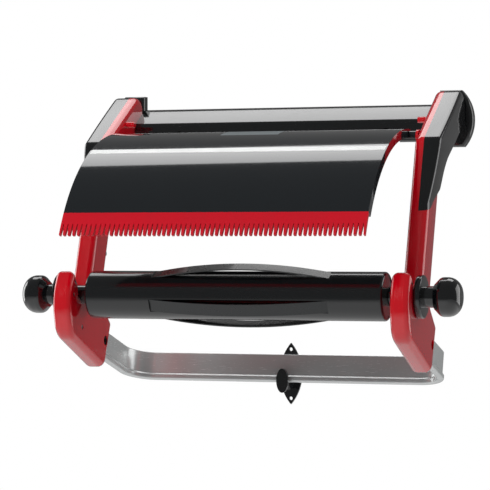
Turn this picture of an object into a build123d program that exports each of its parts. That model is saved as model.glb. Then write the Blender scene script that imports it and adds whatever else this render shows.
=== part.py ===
from build123d import *
import math
import os

# Wall stand for wide paper rolls. Millimetres, +Z up, wall plane at Y = 0, front towards -Y.
# The origin is the middle of the wall rail's back face. Left is -X, right is +X.

# Driving dimensions
ROLL_Y = -258.0            # spindle axis from the wall
ROLL_Z = -250.0            # spindle axis below the middle of the rail
SEAM_X = 245.0             # middle plane of each side bracket
HALF_WALL = 14.0           # half the thickness of a bracket
SHELL = 3.0                # moulded wall of the bracket shells
RIM_R = 9.0                # rounding of the bracket's rim
JOURNAL_R = 13.5           # spindle journal in the open slot
ROD_PLAY = 0.06            # running play of the journals on the through rod
END_GAP = 0.3              # gap between a journal's end and its collar
SLOT_GAP = 0.3             # play of the journal in its slot
LEAN = 18.9                # lean of the uprights towards the wall, degrees
CAP_BULGE = 11.0           # how far the black cap swells past the red shell

COVER_HALF = 218.0         # half the cover's width
COVER_R = 262.4            # outer radius of the cover
COVER_T = 3.0
COVER_C = (115.7, -28.0)   # centre of the cover's arc from the spindle axis (Y, Z)
COVER_TOP = 92.5           # angle of the top edge
COVER_END = 147.0          # angle where the tear bar takes over
STRIPE = (117.0, 119.6)    # angles of the inlaid stripe
BADGE = (95.5, 104.0)      # angles of the bare badge plate
BADGE_HALF = 43.0
INLAY = 0.8                # depth of the stripe and badge recesses
RIM_DEPTH = 13.0           # depth of the cover's side rims
BAR_END = 154.65           # angle of the tear bar's tips
BAR_T = 5.0
TOOTH_ANGLE = 3.7          # angle taken up by the teeth
TOOTH_PITCH = 6.9
TOOTH_GAP = 3.9

HINGE_Y = 118.0            # hinge axis from the spindle axis
HINGE_Z = 224.0
BARREL_R = 8.0
PIN_R = 4.0
PIN_PLAY = 0.06

TUBE_HALF = 217.0          # spindle barrel
TUBE_R = 34.0
TUBE_WALL = 4.5
LEAF_X = (-120.0, 140.0)   # window of the leaf springs
LEAF_W = 18.0
LEAF_T = 1.8
LEAF_RISE = 11.5           # how far a leaf bows out of the barrel
LEAF_TURN = -26.0          # angle of the first leaf
LEAF_PLAY = 0.6
PLUG_LENGTH = 22.0
ROD_R = 5.0
COLLAR_R = 30.0
COLLAR_T = 9.0
NECK_R = 14.8
NECK_LENGTH = 15.0
KNOB_R = 27.0
KNOB_HALF = 20.0
KNOB_END = 320.5

RAIL_TOP = 277.0
RAIL_BOTTOM = 224.0
RAIL_DEPTH = 54.0
RAIL_WALL = 2.5
FOOT_T = 15.5              # wall foot behind each bracket
FOOT_OUT = 36.0            # how far a foot reaches past the seam plane
FOOT_TOP = 297.0
FOOT_BOTTOM = 214.0

BOLT_Y = 85.0              # band bolt from the spindle axis
BOLT_Z = -69.0
BOLT_R = 4.0
BAND_TILT = 17.0
BAND_W = 42.0
BAND_T = 5.0
BAND_BEAD = 10.0
BAND_LENGTH = 152.0        # bolt to the middle of the rear run
BAND_BEND = 40.0           # centre-line radius of the corners
BAND_PLAY = 0.4
BAND_SEAT = 1.05           # from the middle of the band's lower edge down to the hook's shelf

HOOK_TOP = -76.5
HOOK_BOTTOM = -168.5
HOOK_HALF = 17.0
HOOK_T = 4.0
HOOK_HOLES = (-86.0, -159.6)
HOOK_HOLE_R = 2.75
TONGUE_W = 18.0
TONGUE_T = 6.0
SCREW_HOLE_R = 3.0
SCREW_HOLE_X = 160.0
SCREW_HOLE_Z = -14.0
DRIVER_HOLE_R = 5.0        # hole in the rail's front for the screwdriver

AXIS = (ROLL_Y, ROLL_Z)
os.makedirs("parts", exist_ok=True)
nodes = {}


def side_face(points, radii):
    """A closed outline in the YZ plane, given from the spindle axis."""
    placed = [(AXIS[0] + y, AXIS[1] + z) for y, z in points]
    return Plane.YZ * make_face(FilletPolyline(*placed, radius=radii, close=True))


def slab(face, low, high):
    """The face as a slab from X = low to X = high."""
    return Pos(low, 0, 0) * extrude(face, high - low, dir=(1, 0, 0))


def rod(x_low, x_high, radius, y=0.0, z=0.0):
    """A round bar along X, at (y, z) from the spindle axis."""
    middle = Pos((x_low + x_high) / 2, AXIS[0] + y, AXIS[1] + z)
    return middle * Rot(0, 90, 0) * Cylinder(radius, abs(x_high - x_low))


def block(x_low, x_high, y_low, y_high, z_low, z_high):
    """A box with its Y and Z given from the spindle axis."""
    middle = Pos((x_low + x_high) / 2, AXIS[0] + (y_low + y_high) / 2, AXIS[1] + (z_low + z_high) / 2)
    return middle * Box(x_high - x_low, y_high - y_low, z_high - z_low)


def arc_slab(r_out, r_in, from_angle, to_angle, x_low, x_high):
    """A part of a ring about the cover's centre, angles from +Y towards +Z."""
    centre = (AXIS[0] + COVER_C[0], AXIS[1] + COVER_C[1])

    def at(radius, angle):
        turn = math.radians(angle)
        return (centre[0] + radius * math.cos(turn), centre[1] + radius * math.sin(turn))

    middle = (from_angle + to_angle) / 2
    edge = Wire([
        Line(at(r_in, from_angle), at(r_out, from_angle)).edge(),
        ThreePointArc(at(r_out, from_angle), at(r_out, middle), at(r_out, to_angle)).edge(),
        Line(at(r_out, to_angle), at(r_in, to_angle)).edge(),
        ThreePointArc(at(r_in, to_angle), at(r_in, middle), at(r_in, from_angle)).edge(),
    ])
    return slab(Plane.YZ * make_face(edge), x_low, x_high)


def mirrored(solid, side):
    """The right-hand solid, or its mirror image on the left."""
    return solid if side == "right" else mirror(solid, about=Plane.YZ)


def keep(name, solid):
    nodes[name] = solid


# Side brackets: outline from the spindle axis (Y, Z)
lean = math.tan(math.radians(LEAN))
front_foot = (20.0, 8.0)
elbow = (front_foot[0] + lean * 212.0, front_foot[1] + 212.0)
arm_rise = 0.595
arm_back = 242.0
rear_foot = (71.0, -9.0)
rear_elbow = (rear_foot[0] + lean * 194.0, rear_foot[1] + 194.0)
slot_r = JOURNAL_R + SLOT_GAP
outline = [
    (-slot_r + 0.5, 0.0),
    (-slot_r + 0.5, 12.0),
    (-33.0, 40.0),
    (-56.0, -6.0),
    (-42.0, -58.0),
    (84.0, -112.0),
    (112.0, -44.0),
    rear_foot,
    rear_elbow,
    (arm_back, rear_elbow[1] + 0.6 * (arm_back - rear_elbow[0])),
    (arm_back, elbow[1] + arm_rise * (arm_back - elbow[0])),
    elbow,
    front_foot,
    (slot_r - 0.5, 0.0),
]
outline_radii = [0, 12, 7, 70, 34, 15, 8, 16, 60, 30, 20, 16, 14, 0]
bracket_face = side_face(outline, outline_radii)

# The right-hand bracket as one body, before it is divided into its mouldings
body = slab(bracket_face, SEAM_X - HALF_WALL, SEAM_X + HALF_WALL)
rim_edges = [e for e in body.edges() if abs(e.center().X - SEAM_X) > HALF_WALL - 0.1]
body = fillet(rim_edges, RIM_R)
body -= rod(SEAM_X - 2 * HALF_WALL, SEAM_X + 2 * HALF_WALL, slot_r)
body -= block(SEAM_X - 20, SEAM_X + 20, -slot_r, slot_r, 0, 16)

# Line where the black cap meets the red outer shell
cap_line = side_face([(30, 112), (75, 122), (135, 158), (300, 158), (300, 340), (30, 340)], [0, 30, 20, 0, 0, 0])
inner = body & block(SEAM_X - 30, SEAM_X, -100, 300, -150, 350)
outer_half = body & block(SEAM_X, SEAM_X + 30, -100, 300, -150, 350)
cap_zone = slab(cap_line, SEAM_X - 1, SEAM_X + 60)
outer = outer_half - cap_zone

# The cap follows the bracket's outline and swells outwards towards the wall
cap_body = slab(bracket_face, SEAM_X, SEAM_X + HALF_WALL + CAP_BULGE + 4)
swell_r = 760.0
swell_z = 262.0
dome = Pos(SEAM_X + HALF_WALL + CAP_BULGE - swell_r, AXIS[0], AXIS[1] + swell_z)
cap_body &= dome * Rot(90, 0, 0) * Cylinder(swell_r, 900)
swell_edges = [e for e in cap_body.edges() if e.center().X > SEAM_X + 2]
cap_body = fillet(swell_edges, 6.0)
cap = (cap_body & cap_zone) + (outer_half & cap_zone)

# Hollow spaces of the mouldings
upright_space = [(52, 70), (80, 152), (108, 152), (80, 70)]
arm_space = [(140, 205), (140, 232), (226, 283), (230, 258)]
spaces = [side_face(points, 4.0) for points in (upright_space, arm_space)]
for space in spaces:
    inner -= slab(space, SEAM_X - HALF_WALL + SHELL, SEAM_X + 1)
outer -= slab(spaces[0], SEAM_X - 1, SEAM_X + HALF_WALL - SHELL)
cap -= slab(spaces[0], SEAM_X - 1, SEAM_X + HALF_WALL - SHELL)
cap -= slab(spaces[1], SEAM_X - 1, SEAM_X + HALF_WALL - SHELL)

# Pocket for the support band between the shells
tilt = Rot(-BAND_TILT, 0, 0)
at_bolt = Pos(0, AXIS[0] + BOLT_Y, AXIS[1] + BOLT_Z)
pocket_height = BAND_W + 2 * BAND_PLAY
pocket = at_bolt * tilt * Pos(SEAM_X, 32, 0) * Box(BAND_BEAD + 2 * BAND_PLAY, 100, pocket_height)
inner -= pocket
outer -= pocket

# Screws that close each bracket, entered from the inner side
screw_places = [(-34.0, 0.0), (-4.0, -46.0), (88.0, 82.0 - 24.0), (114.0, 190.0), (226.0, 236.0)]
screw_head_r = 3.4
screw_r = 1.9
screw_set = []
for y, z in screw_places:
    head = rod(SEAM_X - HALF_WALL + 1.0, SEAM_X - HALF_WALL + 3.6, screw_head_r, y, z)
    shank = rod(SEAM_X - HALF_WALL + 3.0, SEAM_X + 7.0, screw_r, y, z)
    screw = head + shank
    screw_set.append(screw)
    bore = rod(SEAM_X - HALF_WALL - 1, SEAM_X - HALF_WALL + 3.6, screw_head_r + 0.3, y, z)
    bore += rod(SEAM_X - HALF_WALL, SEAM_X + 7.0, screw_r + 0.02, y, z)
    inner -= bore
    outer -= bore
    cap -= bore

# Hinge boss, cover stop and hinge pin
inner += rod(SEAM_X - HALF_WALL - 2.6, SEAM_X - HALF_WALL + 1, BARREL_R + 1.5, HINGE_Y, HINGE_Z)
inner += rod(SEAM_X - HALF_WALL - 13.5, SEAM_X - HALF_WALL + 2, 4.5, 168, 250)
inner -= rod(SEAM_X - HALF_WALL - 5, SEAM_X - 2, PIN_R + 0.02, HINGE_Y, HINGE_Z)
pin = rod(SEAM_X - 40, SEAM_X - 2, PIN_R, HINGE_Y, HINGE_Z)

# Band bolt: its head sits in the inner shell and its end is flush with the band
bolt_face = SEAM_X - HALF_WALL + 1.5
bolt_head = rod(bolt_face, bolt_face + 4, 7.0, BOLT_Y, BOLT_Z)
bolt_head -= rod(bolt_face - 1, bolt_face + 2.2, 3.0, BOLT_Y, BOLT_Z)
bolt = bolt_head + rod(bolt_face + 3, SEAM_X + BAND_T / 2, BOLT_R, BOLT_Y, BOLT_Z)
inner -= rod(SEAM_X - HALF_WALL - 1, bolt_face + 4, 7.3, BOLT_Y, BOLT_Z)
inner -= rod(SEAM_X - HALF_WALL, SEAM_X, BOLT_R + 0.02, BOLT_Y, BOLT_Z)
outer -= rod(SEAM_X, SEAM_X + HALF_WALL + 1, 7.0, BOLT_Y, BOLT_Z)

# Wall feet behind the brackets
foot_x = (SEAM_X - HALF_WALL, SEAM_X + FOOT_OUT)
foot_middle = (FOOT_TOP + FOOT_BOTTOM) / 2


def wall_foot():
    top = ROLL_Z + FOOT_TOP
    bottom = ROLL_Z + FOOT_BOTTOM
    edge = Wire([
        Line((foot_x[0], bottom), (foot_x[1] - 14, bottom)).edge(),
        ThreePointArc((foot_x[1] - 14, bottom), (foot_x[1], ROLL_Z + foot_middle), (foot_x[1] - 18, top)).edge(),
        Line((foot_x[1] - 18, top), (foot_x[0], top)).edge(),
        Line((foot_x[0], top), (foot_x[0], bottom)).edge(),
    ])
    plate = extrude(Plane.XZ * make_face(edge), FOOT_T, dir=(0, -1, 0))
    front = plate.faces().sort_by(Axis.Y)[0]
    return fillet(front.edges(), 5.0)


foot = wall_foot()
foot_screws = []
for z in (232.0, 280.0):
    head = Pos(SEAM_X, -5.5, AXIS[1] + z) * Rot(90, 0, 0) * Cylinder(4.0, 5)
    shank = Pos(SEAM_X, -17, AXIS[1] + z) * Rot(90, 0, 0) * Cylinder(2.0, 20)
    foot_screws.append(head + shank)
    foot -= Pos(SEAM_X, -3.99, AXIS[1] + z) * Rot(90, 0, 0) * Cylinder(4.2, 8.02)
    foot -= Pos(SEAM_X, -17, AXIS[1] + z) * Rot(90, 0, 0) * Cylinder(2.02, 20.02)
    inner -= Pos(SEAM_X, -17, AXIS[1] + z) * Rot(90, 0, 0) * Cylinder(2.02, 20.02)
    outer -= Pos(SEAM_X, -17, AXIS[1] + z) * Rot(90, 0, 0) * Cylinder(2.02, 20.02)
    cap -= Pos(SEAM_X, -17, AXIS[1] + z) * Rot(90, 0, 0) * Cylinder(2.02, 20.02)

# Wall rail: hollow moulded hood between the feet
wall_y = -ROLL_Y
rail_points = [
    (wall_y, RAIL_BOTTOM),
    (wall_y, RAIL_TOP),
    (wall_y - 12, RAIL_TOP),
    (wall_y - RAIL_DEPTH, RAIL_TOP - 25),
    (wall_y - RAIL_DEPTH, RAIL_BOTTOM + 8),
    (wall_y - RAIL_DEPTH + 10, RAIL_BOTTOM),
]
rail_space = [
    (wall_y - RAIL_WALL, RAIL_BOTTOM + RAIL_WALL),
    (wall_y - RAIL_WALL, RAIL_TOP - RAIL_WALL),
    (wall_y - 12, RAIL_TOP - RAIL_WALL),
    (wall_y - RAIL_DEPTH + RAIL_WALL, RAIL_TOP - 26),
    (wall_y - RAIL_DEPTH + RAIL_WALL, RAIL_BOTTOM + 8),
    (wall_y - RAIL_DEPTH + 10, RAIL_BOTTOM + RAIL_WALL),
]
rail_half = foot_x[0]
rail = slab(side_face(rail_points, [0, 0, 30, 8, 5, 5]), -rail_half, rail_half)
rail -= slab(side_face(rail_space, [0, 0, 28, 6, 3, 3]), -rail_half - 1, rail_half + 1)
for x in (-SCREW_HOLE_X, SCREW_HOLE_X):
    rail -= Pos(x, -2, SCREW_HOLE_Z) * Rot(90, 0, 0) * Cylinder(SCREW_HOLE_R, 6)
    rail -= Pos(x, -RAIL_DEPTH, SCREW_HOLE_Z) * Rot(90, 0, 0) * Cylinder(DRIVER_HOLE_R, 12)
keep("wall_rail", rail)

# Hinged cover with its side rims and hinge barrels
cover = arc_slab(COVER_R, COVER_R - COVER_T, COVER_TOP, COVER_END, -COVER_HALF, COVER_HALF)
barrel_x = (COVER_HALF - 14, COVER_HALF + 10)
for sign in (-1, 1):
    rim_x = sorted((sign * COVER_HALF, sign * (COVER_HALF - COVER_T)))
    cover += arc_slab(COVER_R - 1, COVER_R - RIM_DEPTH, COVER_TOP, COVER_END, *rim_x)
    tongue_x = sorted((sign * barrel_x[0], sign * COVER_HALF))
    cover += arc_slab(COVER_R, COVER_R - COVER_T, 88.5, COVER_TOP + 0.1, *tongue_x)
    ends = sorted((sign * barrel_x[0], sign * barrel_x[1]))
    cover += rod(*ends, BARREL_R, HINGE_Y, HINGE_Z)
    cover += block(*tongue_x, HINGE_Y - 6, HINGE_Y + 4, HINGE_Z, HINGE_Z + BARREL_R + 1)
for sign in (-1, 1):
    ends = sorted((sign * (barrel_x[0] - 1), sign * (barrel_x[1] + 1)))
    cover -= rod(*ends, PIN_R + PIN_PLAY, HINGE_Y, HINGE_Z)
stripe_half = COVER_HALF - 2.0
cover -= arc_slab(COVER_R + 1, COVER_R - INLAY, *STRIPE, -stripe_half, stripe_half)
cover -= arc_slab(COVER_R + 1, COVER_R - INLAY, *BADGE, -BADGE_HALF, BADGE_HALF)
keep("cover", cover)
keep("cover_stripe", arc_slab(COVER_R, COVER_R - INLAY, *STRIPE, -stripe_half, stripe_half))
keep("badge_plate", arc_slab(COVER_R, COVER_R - INLAY, *BADGE, -BADGE_HALF, BADGE_HALF))

# Serrated tear bar, butted to the cover's lower edge, with a lip behind the cover
bar = arc_slab(COVER_R, COVER_R - BAR_T, COVER_END, BAR_END, -COVER_HALF, COVER_HALF)
lip_half = COVER_HALF - COVER_T - 0.5
bar += arc_slab(COVER_R - COVER_T, COVER_R - BAR_T, COVER_END - 2.5, COVER_END + 0.1, -lip_half, lip_half)
tooth_count = int(2 * COVER_HALF / TOOTH_PITCH)
end_turn = math.radians(BAR_END)
tip = (COVER_C[0] + COVER_R * math.cos(end_turn), COVER_C[1] + COVER_R * math.sin(end_turn))
tooth_depth = COVER_R * math.radians(TOOTH_ANGLE)
gullet_face = make_face(Polyline((-TOOTH_GAP / 2, -1), (TOOTH_GAP / 2, -1), (0.5, tooth_depth),
                                 (-0.5, tooth_depth), close=True))
gullet_plane = Plane(
    origin=(0, AXIS[0] + tip[0], AXIS[1] + tip[1]),
    x_dir=(1, 0, 0),
    z_dir=(0, math.cos(end_turn), math.sin(end_turn)),
)
gullets = []
for index in range(tooth_count):
    x = (index - (tooth_count - 1) / 2) * TOOTH_PITCH
    gullets.append(gullet_plane * Pos(x, 0, -12) * extrude(gullet_face, 24))
bar -= gullets
keep("tear_bar", bar)

# Spindle: barrel with four windows, a leaf spring in each
tube = rod(-TUBE_HALF, TUBE_HALF, TUBE_R)
tube = fillet(tube.edges(), 4.0)
tube -= rod(-TUBE_HALF - 1, TUBE_HALF + 1, TUBE_R - TUBE_WALL)
leaf_span = LEAF_X[1] - LEAF_X[0]
leaf_middle = (LEAF_X[0] + LEAF_X[1]) / 2
leaf_end_r = TUBE_R - TUBE_WALL / 2
rise = TUBE_R + LEAF_RISE - leaf_end_r
leaf_r = ((leaf_span / 2) ** 2 + rise ** 2) / (2 * rise)
leaf_names = ["leaf_spring_front", "leaf_spring_top", "leaf_spring_rear", "leaf_spring_bottom"]
window = Pos(leaf_middle, 0, TUBE_R) * Box(leaf_span, LEAF_W + 2 * LEAF_PLAY, 2 * TUBE_WALL + 6)
leaf_ring = Pos(leaf_middle, 0, TUBE_R + LEAF_RISE - leaf_r) * Rot(90, 0, 0) * Cylinder(leaf_r, LEAF_W)
leaf_ring -= Pos(leaf_middle, 0, TUBE_R + LEAF_RISE - leaf_r) * Rot(90, 0, 0) * Cylinder(leaf_r - LEAF_T, LEAF_W + 2)
leaf = leaf_ring & (Pos(leaf_middle, 0, TUBE_R + 10) * Box(leaf_span, LEAF_W, 40))
for index, name in enumerate(leaf_names):
    place = Pos(0, *AXIS) * Rot(90 - LEAF_TURN - 90 * index, 0, 0)
    tube -= place * window
    keep(name, place * leaf)
keep("spindle_barrel", tube)
keep("spindle_rod", rod(-KNOB_END + KNOB_HALF, KNOB_END - KNOB_HALF, ROD_R))

# Pieces at each end
collar_x = SEAM_X + HALF_WALL + 0.6
neck_end = collar_x + COLLAR_T + NECK_LENGTH
knob_x = KNOB_END - KNOB_HALF
for side in ("left", "right"):
    keep(f"bracket_inner_{side}", mirrored(inner, side))
    keep(f"bracket_outer_{side}", mirrored(outer, side))
    keep(f"bracket_cap_{side}", mirrored(cap, side))
    keep(f"shell_screws_{side}", Compound([mirrored(s, side) for s in screw_set]))
    keep(f"foot_screws_{side}", Compound([mirrored(s, side) for s in foot_screws]))
    keep(f"wall_foot_{side}", mirrored(foot, side))
    keep(f"hinge_pin_{side}", mirrored(pin, side))
    keep(f"band_bolt_{side}", mirrored(bolt, side))
    plug = rod(TUBE_HALF - PLUG_LENGTH, TUBE_HALF - 1, TUBE_R - TUBE_WALL)
    plug += rod(TUBE_HALF - 2, collar_x - END_GAP, JOURNAL_R)
    plug -= rod(TUBE_HALF - PLUG_LENGTH - 1, collar_x + 1, ROD_R + ROD_PLAY)
    keep(f"journal_{side}", mirrored(plug, side))
    collar = rod(collar_x, collar_x + COLLAR_T, COLLAR_R)
    collar = fillet(collar.edges(), 2.5)
    collar += rod(collar_x + COLLAR_T - 1, neck_end, NECK_R)
    collar -= rod(collar_x - 1, neck_end + 1, ROD_R)
    keep(f"collar_{side}", mirrored(collar, side))
    knob_outline = [
        (-KNOB_HALF, 0),
        (-KNOB_HALF, NECK_R),
        (-0.4 * KNOB_HALF, KNOB_R),
        (KNOB_HALF, KNOB_R),
        (KNOB_HALF, 0),
    ]
    half = make_face(FilletPolyline(*knob_outline, radius=[0, 3, 9, 0.95 * KNOB_HALF, 0], close=True))
    knob = Pos(knob_x, *AXIS) * revolve(half, Axis.X, 360)
    knob -= rod(collar_x, neck_end, KNOB_R)
    knob -= rod(collar_x, knob_x, ROD_R)
    keep(f"knob_{side}", mirrored(knob, side))

# Support band: one flat bar with a bead along its lower edge, bent to a U
bar_face = make_face(FilletPolyline(
    (-BAND_T / 2, BAND_W / 2), (BAND_T / 2, BAND_W / 2), (BAND_T / 2, -BAND_W / 2 + BAND_BEAD),
    (BAND_BEAD / 2, -BAND_W / 2 + BAND_BEAD - 3), (BAND_BEAD / 2, -BAND_W / 2),
    (-BAND_BEAD / 2, -BAND_W / 2), (-BAND_BEAD / 2, -BAND_W / 2 + BAND_BEAD - 3),
    (-BAND_T / 2, -BAND_W / 2 + BAND_BEAD),
    radius=[1.5, 1.5, 1, 2, 3, 3, 2, 1], close=True))
band_start = -12.0
straight = BAND_LENGTH - BAND_BEND
arm = Pos(SEAM_X, band_start, 0) * extrude(Plane.XZ * bar_face, straight - band_start, dir=(0, 1, 0))
corner_face = Pos(SEAM_X, straight, 0) * (Plane.XZ * bar_face)
corner_axis = Axis((SEAM_X - BAND_BEND, straight, 0), (0, 0, 1))
corner = revolve(corner_face, corner_axis, 90)
run_half = SEAM_X - BAND_BEND
run = Pos(-run_half, BAND_LENGTH, 0) * extrude(Plane.YZ * bar_face, 2 * run_half, dir=(1, 0, 0))
band = arm + corner + mirror(arm, about=Plane.YZ) + mirror(corner, about=Plane.YZ) + run
band -= Rot(0, 90, 0) * Cylinder(BOLT_R + 0.02, 2 * SEAM_X + 40)
band = at_bolt * tilt * band
keep("support_band", band)

# Wall hook: pointed oval plate, arm under the band and oval tongue in front of it
hook_mid = (HOOK_TOP + HOOK_BOTTOM) / 2
hook_edge = Wire([
    ThreePointArc((0, HOOK_BOTTOM), (HOOK_HALF, hook_mid), (0, HOOK_TOP)).edge(),
    ThreePointArc((0, HOOK_TOP), (-HOOK_HALF, hook_mid), (0, HOOK_BOTTOM)).edge(),
])
plate = Pos(0, 0, ROLL_Z) * extrude(Plane.XZ * make_face(hook_edge), HOOK_T, dir=(0, -1, 0))
band_y = BOLT_Y + BAND_LENGTH * math.cos(math.radians(BAND_TILT))
band_z = BOLT_Z - BAND_LENGTH * math.sin(math.radians(BAND_TILT))
shelf_top = band_z - (BAND_W / 2) * math.cos(math.radians(BAND_TILT)) - BAND_SEAT
tongue_y = band_y - (BAND_W / 2) * math.sin(math.radians(BAND_TILT)) - BAND_BEAD / 2 - 4.0 - TONGUE_T
hook = plate + block(-6, 6, tongue_y + 1, wall_y - HOOK_T + 1, shelf_top - 10, shelf_top)
tongue = Pos(0, ROLL_Y + tongue_y, ROLL_Z + shelf_top + 4) * (
    extrude(Plane.XZ * Ellipse(TONGUE_W / 2, 18), TONGUE_T, dir=(0, 1, 0)))
hook += tongue
for z in HOOK_HOLES:
    hook -= Pos(0, -2, ROLL_Z + z) * Rot(90, 0, 0) * Cylinder(HOOK_HOLE_R, 8)
keep("wall_hook", hook)

for name, solid in nodes.items():
    export_step(solid, f"parts/{name}.step")
    print(name, len(solid.solids()), round(solid.volume))
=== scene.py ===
import bpy
import bmesh
import math
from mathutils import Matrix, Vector


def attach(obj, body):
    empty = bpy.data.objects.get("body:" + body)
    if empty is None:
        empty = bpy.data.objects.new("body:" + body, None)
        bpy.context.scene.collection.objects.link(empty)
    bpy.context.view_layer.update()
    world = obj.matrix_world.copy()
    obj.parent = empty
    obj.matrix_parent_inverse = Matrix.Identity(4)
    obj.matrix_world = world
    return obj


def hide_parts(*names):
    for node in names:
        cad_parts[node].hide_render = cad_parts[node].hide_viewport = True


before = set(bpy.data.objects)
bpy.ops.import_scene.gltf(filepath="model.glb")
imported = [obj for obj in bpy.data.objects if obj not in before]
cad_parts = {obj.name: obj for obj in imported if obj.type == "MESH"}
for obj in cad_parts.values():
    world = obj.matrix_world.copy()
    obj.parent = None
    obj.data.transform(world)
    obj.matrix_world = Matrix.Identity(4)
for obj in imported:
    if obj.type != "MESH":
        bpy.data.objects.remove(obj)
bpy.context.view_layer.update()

# ---------------------------------------------------------------- studio and camera
# A plain white studio: one long-lens camera at eye height to the right of the stand, soft boxes
# left, right and above, a front lamp that leaves no reflection, and a pale floor well below the
# stand, which hangs on a wall.
CAMERA_TURN = math.radians(18.3)
CAMERA_PLACE = (1.0133, -3.2870, -0.1795)
CAMERA_LENS = 168.2
FLOOR_Z = -1.6
FLOOR_HALF = 6
ROOM_LIGHT = 0.32
ROOM_IN_GLOSS = 0.13
STAND_MIDDLE = Vector((0.0, -0.2, -0.15))
# Place, width and height, power in watts, and whether glossy surfaces mirror it
SOFT_BOXES = {
    "soft_box_right": ((2.6, 1.2, 0.2), (2.2, 2.6), 26.0, True),
    "soft_box_left": ((-2.6, 0.5, 0.1), (1.1, 2.2), 20.0, True),
    "soft_box_top": ((-0.3, 1.2, 2.3), (3.0, 1.0), 22.0, True),
    "soft_box_front": ((-0.9, -3.2, 1.6), (1.8, 1.8), 64.0, False),
}


def linear(hex_colour):
    """An sRGB hex colour as linear red, green, blue and alpha."""
    values = [int(hex_colour[i:i + 2], 16) / 255 for i in (1, 3, 5)]
    return [v / 12.92 if v <= 0.04045 else ((v + 0.055) / 1.055) ** 2.4 for v in values] + [1.0]


def node(tree, kind, settings=None, **inputs):
    """Adds one node, sets its properties, and sets or links its inputs by name."""
    made = tree.nodes.new(kind)
    for key, value in (settings or {}).items():
        setattr(made, key, value)
    for key, value in inputs.items():
        numbered = key[0] == "i" and key[1:].isdigit()
        socket = made.inputs[int(key[1:]) if numbered else key.replace("_", " ")]
        if isinstance(value, bpy.types.NodeSocket):
            tree.links.new(value, socket)
        else:
            socket.default_value = value
    return made


camera_data = bpy.data.cameras.new("camera")
camera_data.lens = CAMERA_LENS
camera = bpy.data.objects.new("camera", camera_data)
camera.location = CAMERA_PLACE
camera.rotation_euler = (math.pi / 2, 0, CAMERA_TURN)
bpy.context.scene.collection.objects.link(camera)
bpy.context.scene.camera = camera
bpy.context.scene.view_settings.view_transform = "Standard"

for name, (place, size, power, in_reflections) in SOFT_BOXES.items():
    lamp = bpy.data.lights.new(name, "AREA")
    lamp.shape = "RECTANGLE"
    lamp.size, lamp.size_y = size
    lamp.energy = power
    holder = bpy.data.objects.new(name, lamp)
    holder.location = place
    holder.rotation_euler = (STAND_MIDDLE - Vector(place)).to_track_quat("-Z", "Y").to_euler()
    holder.visible_camera = False
    holder.visible_glossy = in_reflections
    bpy.context.scene.collection.objects.link(holder)

world = bpy.data.worlds.new("white_studio")
world.use_nodes = True
bpy.context.scene.world = world
sky = world.node_tree
sky.nodes.clear()
ray = node(sky, "ShaderNodeLightPath")
seen = node(sky, "ShaderNodeMath", {"operation": "MAXIMUM"},
            i0=ray.outputs["Is Camera Ray"], i1=ray.outputs["Is Transmission Ray"])
dimmed = node(sky, "ShaderNodeMapRange", None, Value=ray.outputs["Is Glossy Ray"],
              To_Min=ROOM_LIGHT, To_Max=ROOM_IN_GLOSS)
level = node(sky, "ShaderNodeMix", None, i0=seen.outputs[0], i2=dimmed.outputs[0], i3=1.0)
back = node(sky, "ShaderNodeBackground", None, Color=(1, 1, 1, 1), Strength=level.outputs[0])
node(sky, "ShaderNodeOutputWorld", None, Surface=back.outputs[0])

floor_mesh = bpy.data.meshes.new("studio_floor")
floor_corners = [(x * FLOOR_HALF, y * FLOOR_HALF, FLOOR_Z) for x, y in ((-1, -1), (1, -1), (1, 1), (-1, 1))]
floor_mesh.from_pydata(floor_corners, [], [(0, 1, 2, 3)])
floor = bpy.data.objects.new("studio_floor", floor_mesh)
bpy.context.scene.collection.objects.link(floor)
paper = bpy.data.materials.new("white_paper_floor")
paper.use_nodes = True
tree = paper.node_tree
tree.nodes.clear()
ray = node(tree, "ShaderNodeLightPath")
matt = node(tree, "ShaderNodeBsdfDiffuse", None, Color=linear("#EDEDED"))
glow = node(tree, "ShaderNodeEmission", None, Color=(1, 1, 1, 1), Strength=1.0)
both = node(tree, "ShaderNodeMixShader", None, i0=ray.outputs["Is Camera Ray"],
            i1=matt.outputs[0], i2=glow.outputs[0])
node(tree, "ShaderNodeOutputMaterial", None, Surface=both.outputs[0])
floor_mesh.materials.append(paper)

# ---------------------------------------------------------------- side brackets, red mouldings
# Each bracket is two injection-moulded ABS shells, screwed together on a seam that runs down the
# middle of its rounded rim. The surface is highly polished. Its soft pink reflections are painted, as a faint
# pink-tinted sheen.
SHARP = math.radians(32)


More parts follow.
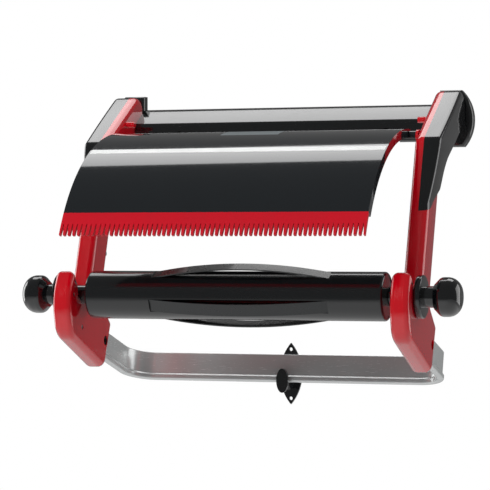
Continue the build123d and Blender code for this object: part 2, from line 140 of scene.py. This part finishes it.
def moulded_plastic(name, colour, roughness, peel_mm, peel, coat=1.0, sheen=0.0, painted_pink_reflection_tint="#FF5FB0"):
    """Polished injection-moulded plastic: faint orange peel and cloudy gloss under a clear skin."""
    material = bpy.data.materials.new(name)
    material.use_nodes = True
    tree = material.node_tree
    tree.nodes.clear()
    place = node(tree, "ShaderNodeTexCoord").outputs["Object"]
    cloud = node(tree, "ShaderNodeTexNoise", None, Vector=place, Scale=28.0, Detail=3.0)
    fine = node(tree, "ShaderNodeTexNoise", None, Vector=place, Scale=1000.0 / peel_mm, Detail=2.0)
    darker = [c * 0.86 for c in linear(colour)[:3]] + [1.0]
    tone = node(tree, "ShaderNodeMix", {"data_type": "RGBA"}, i0=cloud.outputs["Fac"],
                i6=linear(colour), i7=darker)
    gloss = node(tree, "ShaderNodeMapRange", None, Value=cloud.outputs["Fac"],
                 To_Min=roughness * 0.8, To_Max=roughness * 1.3)
    bump = node(tree, "ShaderNodeBump", None, Strength=peel, Distance=0.0002, Height=fine.outputs["Fac"])
    # The sheen's pink tint is painted reflection: it stands in for pink reflections, not a colour of the plastic.
    shader = node(tree, "ShaderNodeBsdfPrincipled", None, Base_Color=tone.outputs[2],
                  Roughness=gloss.outputs[0], Normal=bump.outputs[0], IOR=1.53, Coat_Weight=coat, Coat_Roughness=0.04,
                  Sheen_Weight=sheen, Sheen_Roughness=0.28, Sheen_Tint=linear(painted_pink_reflection_tint))
    node(tree, "ShaderNodeOutputMaterial", None, Surface=shader.outputs[0])
    return material


def finish_piece(name, node_name, body, material, sharp=SHARP):
    """The node's shape as a joined, smooth-shaded mesh in its finish, riding on its body."""
    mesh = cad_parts[node_name].data.copy()
    mesh.materials.clear()
    shape = bmesh.new()
    shape.from_mesh(mesh)
    bmesh.ops.remove_doubles(shape, verts=shape.verts, dist=1e-6)
    for face in shape.faces:
        face.smooth = True
    for edge in shape.edges:
        edge.smooth = not (len(edge.link_faces) == 2 and edge.calc_face_angle(0) > sharp)
    shape.to_mesh(mesh)
    shape.free()
    mesh.name = name
    mesh.materials.append(material)
    piece = bpy.data.objects.new(name, mesh)
    bpy.context.scene.collection.objects.link(piece)
    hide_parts(node_name)
    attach(piece, body)
    return piece


SIDES = ("left", "right")
# The weak pink sheen on the red is painted reflection.
red_abs = moulded_plastic("polished_red_abs", "#DA0018", 0.14, 1.4, 0.05, sheen=0.06)
for side in SIDES:
    for part in ("inner", "outer"):
        finish_piece(f"bracket_{part}_shell_{side}", f"bracket_{part}_{side}", "frame", red_abs)

# ---------------------------------------------------------------- black bracket caps
# A black polished ABS cap clips over the outer side of each bracket's upper half, swelling
# outwards towards the wall. It hides the wall fixing.
black_abs = moulded_plastic("polished_black_abs", "#0B0E10", 0.14, 1.4, 0.05)
for side in SIDES:
    finish_piece(f"bracket_cap_shell_{side}", f"bracket_cap_{side}", "frame", black_abs)

# ---------------------------------------------------------------- wall rail and feet
# The hollow black rail carries both brackets and is screwed to the wall. A rounded foot closes
# each end behind its bracket.
finish_piece("rail_hood", "wall_rail", "frame", black_abs)
for side in SIDES:
    finish_piece(f"wall_foot_plate_{side}", f"wall_foot_{side}", "frame", black_abs)

# ---------------------------------------------------------------- smoked cover
# A curved sheet of smoked polycarbonate with a rim down each side, hinged on two pins near its
# top edge. It is so dark that it reads as black, with a cooler tone than the rail.
smoked = moulded_plastic("smoked_polycarbonate", "#14191D", 0.09, 2.5, 0.03)
finish_piece("cover_sheet", "cover", "cover", smoked)

# ---------------------------------------------------------------- stripe and bare badge plate
# The white stripe is a second shot of opaque plastic, flush in the cover. The badge's place holds
# a bare plate of satin grey plastic. It is coloured lighter than its own grey, as a painted highlight.
white_plastic = moulded_plastic("opaque_white_abs", "#FBFDFC", 0.32, 1.0, 0.05, coat=0.3)
# The badge plate's grey is partly its own colour and partly a painted highlight, raised to the brightness of its
# grazing reflection.
grey_plastic_painted_highlight = moulded_plastic("satin_grey_abs_painted_highlight", "#7C868A", 0.38, 0.8, 0.12, coat=0.2)
finish_piece("stripe_inlay", "cover_stripe", "cover", white_plastic)
finish_piece("badge_plate_bare", "badge_plate", "cover", grey_plastic_painted_highlight)

# ---------------------------------------------------------------- tear bar
# A separate red moulding along the cover's lower edge, with a row of deep pointed teeth.
red_bar = moulded_plastic("satin_red_abs", "#DC0020", 0.3, 1.0, 0.05, coat=0.25)
finish_piece("tear_bar_toothed", "tear_bar", "cover", red_bar)

# ---------------------------------------------------------------- spindle barrel and leaf springs
# The barrel is a ribbed black tube with four windows. A bowed strip in each window presses
# outwards against the roll's core.
leaf_black = moulded_plastic("black_nylon_leaf", "#14181A", 0.26, 0.7, 0.08, coat=0.4)
barrel_black = moulded_plastic("black_nylon_barrel", "#101315", 0.2, 1.0, 0.05, coat=0.7)
finish_piece("barrel_tube", "spindle_barrel", "barrel", barrel_black)
for place in ("front", "top", "rear", "bottom"):
    finish_piece(f"leaf_{place}", f"leaf_spring_{place}", "barrel", leaf_black)

# ---------------------------------------------------------------- journals, collars and knobs
# Black polished ends: the journal turns in the bracket's open slot, the collar runs beside the
# bracket, and the round knob is the handle for lifting the spindle out.
for side in SIDES:
    finish_piece(f"journal_plug_{side}", f"journal_{side}", "barrel", black_abs)
    finish_piece(f"collar_neck_{side}", f"collar_{side}", "spindle", black_abs)
    finish_piece(f"ball_knob_{side}", f"knob_{side}", "spindle", black_abs)

# ---------------------------------------------------------------- steel pins and screws
# Zinc-plated hinge pins and screws, and the rod that runs through the spindle.


def plated_metal(name, colour, roughness, grain_mm, stretch=(1.0, 1.0, 1.0), grain=0.08, bare=1.0):
    """Drawn or plated metal: fine grain along one direction. A matt anodised layer lowers bare."""
    material = bpy.data.materials.new(name)
    material.use_nodes = True
    tree = material.node_tree
    tree.nodes.clear()
    place = node(tree, "ShaderNodeTexCoord").outputs["Object"]
    drawn = node(tree, "ShaderNodeMapping", None, Vector=place, Scale=stretch)
    grains = node(tree, "ShaderNodeTexNoise", None, Vector=drawn.outputs[0],
                  Scale=1000.0 / grain_mm, Detail=4.0)
    cloud = node(tree, "ShaderNodeTexNoise", None, Vector=place, Scale=14.0, Detail=2.0)
    darker = [c * 0.8 for c in linear(colour)[:3]] + [1.0]
    tone = node(tree, "ShaderNodeMix", {"data_type": "RGBA"}, i0=cloud.outputs["Fac"],
                i6=linear(colour), i7=darker)
    gloss = node(tree, "ShaderNodeMapRange", None, Value=grains.outputs["Fac"],
                 To_Min=roughness * 0.7, To_Max=roughness * 1.35)
    bump = node(tree, "ShaderNodeBump", None, Strength=grain, Distance=0.0001, Height=grains.outputs["Fac"])
    shader = node(tree, "ShaderNodeBsdfPrincipled", None, Base_Color=tone.outputs[2],
                  Roughness=gloss.outputs[0], Normal=bump.outputs[0], Metallic=bare)
    node(tree, "ShaderNodeOutputMaterial", None, Surface=shader.outputs[0])
    return material


zinc = plated_metal("zinc_plated_steel", "#B9BDBF", 0.3, 0.6)
black_steel = plated_metal("blackened_steel", "#26292B", 0.38, 0.6)
for side in SIDES:
    finish_piece(f"hinge_pin_steel_{side}", f"hinge_pin_{side}", "frame", zinc)
    finish_piece(f"closing_screws_{side}", f"shell_screws_{side}", "frame", zinc)
    finish_piece(f"wall_foot_screws_{side}", f"foot_screws_{side}", "frame", zinc)
    finish_piece(f"band_bolt_black_{side}", f"band_bolt_{side}", "frame", black_steel)
finish_piece("through_rod", "spindle_rod", "spindle", zinc)

# ---------------------------------------------------------------- support band
# One aluminium bar with a bead along its lower edge, bent to a U and held between the shells of
# the brackets. Its anodised surface is satin, with the fine lengthwise lines of drawing.
aluminium = plated_metal("satin_anodised_aluminium", "#F0F3F3", 0.24, 0.5, (0.04, 0.04, 1.0), 0.01, 0.5)
finish_piece("band_aluminium", "support_band", "frame", aluminium)

# ---------------------------------------------------------------- wall hook
# A black moulded hook, screwed to the wall, that carries the band on a short shelf.
finish_piece("hook_moulding", "wall_hook", "frame", black_abs)
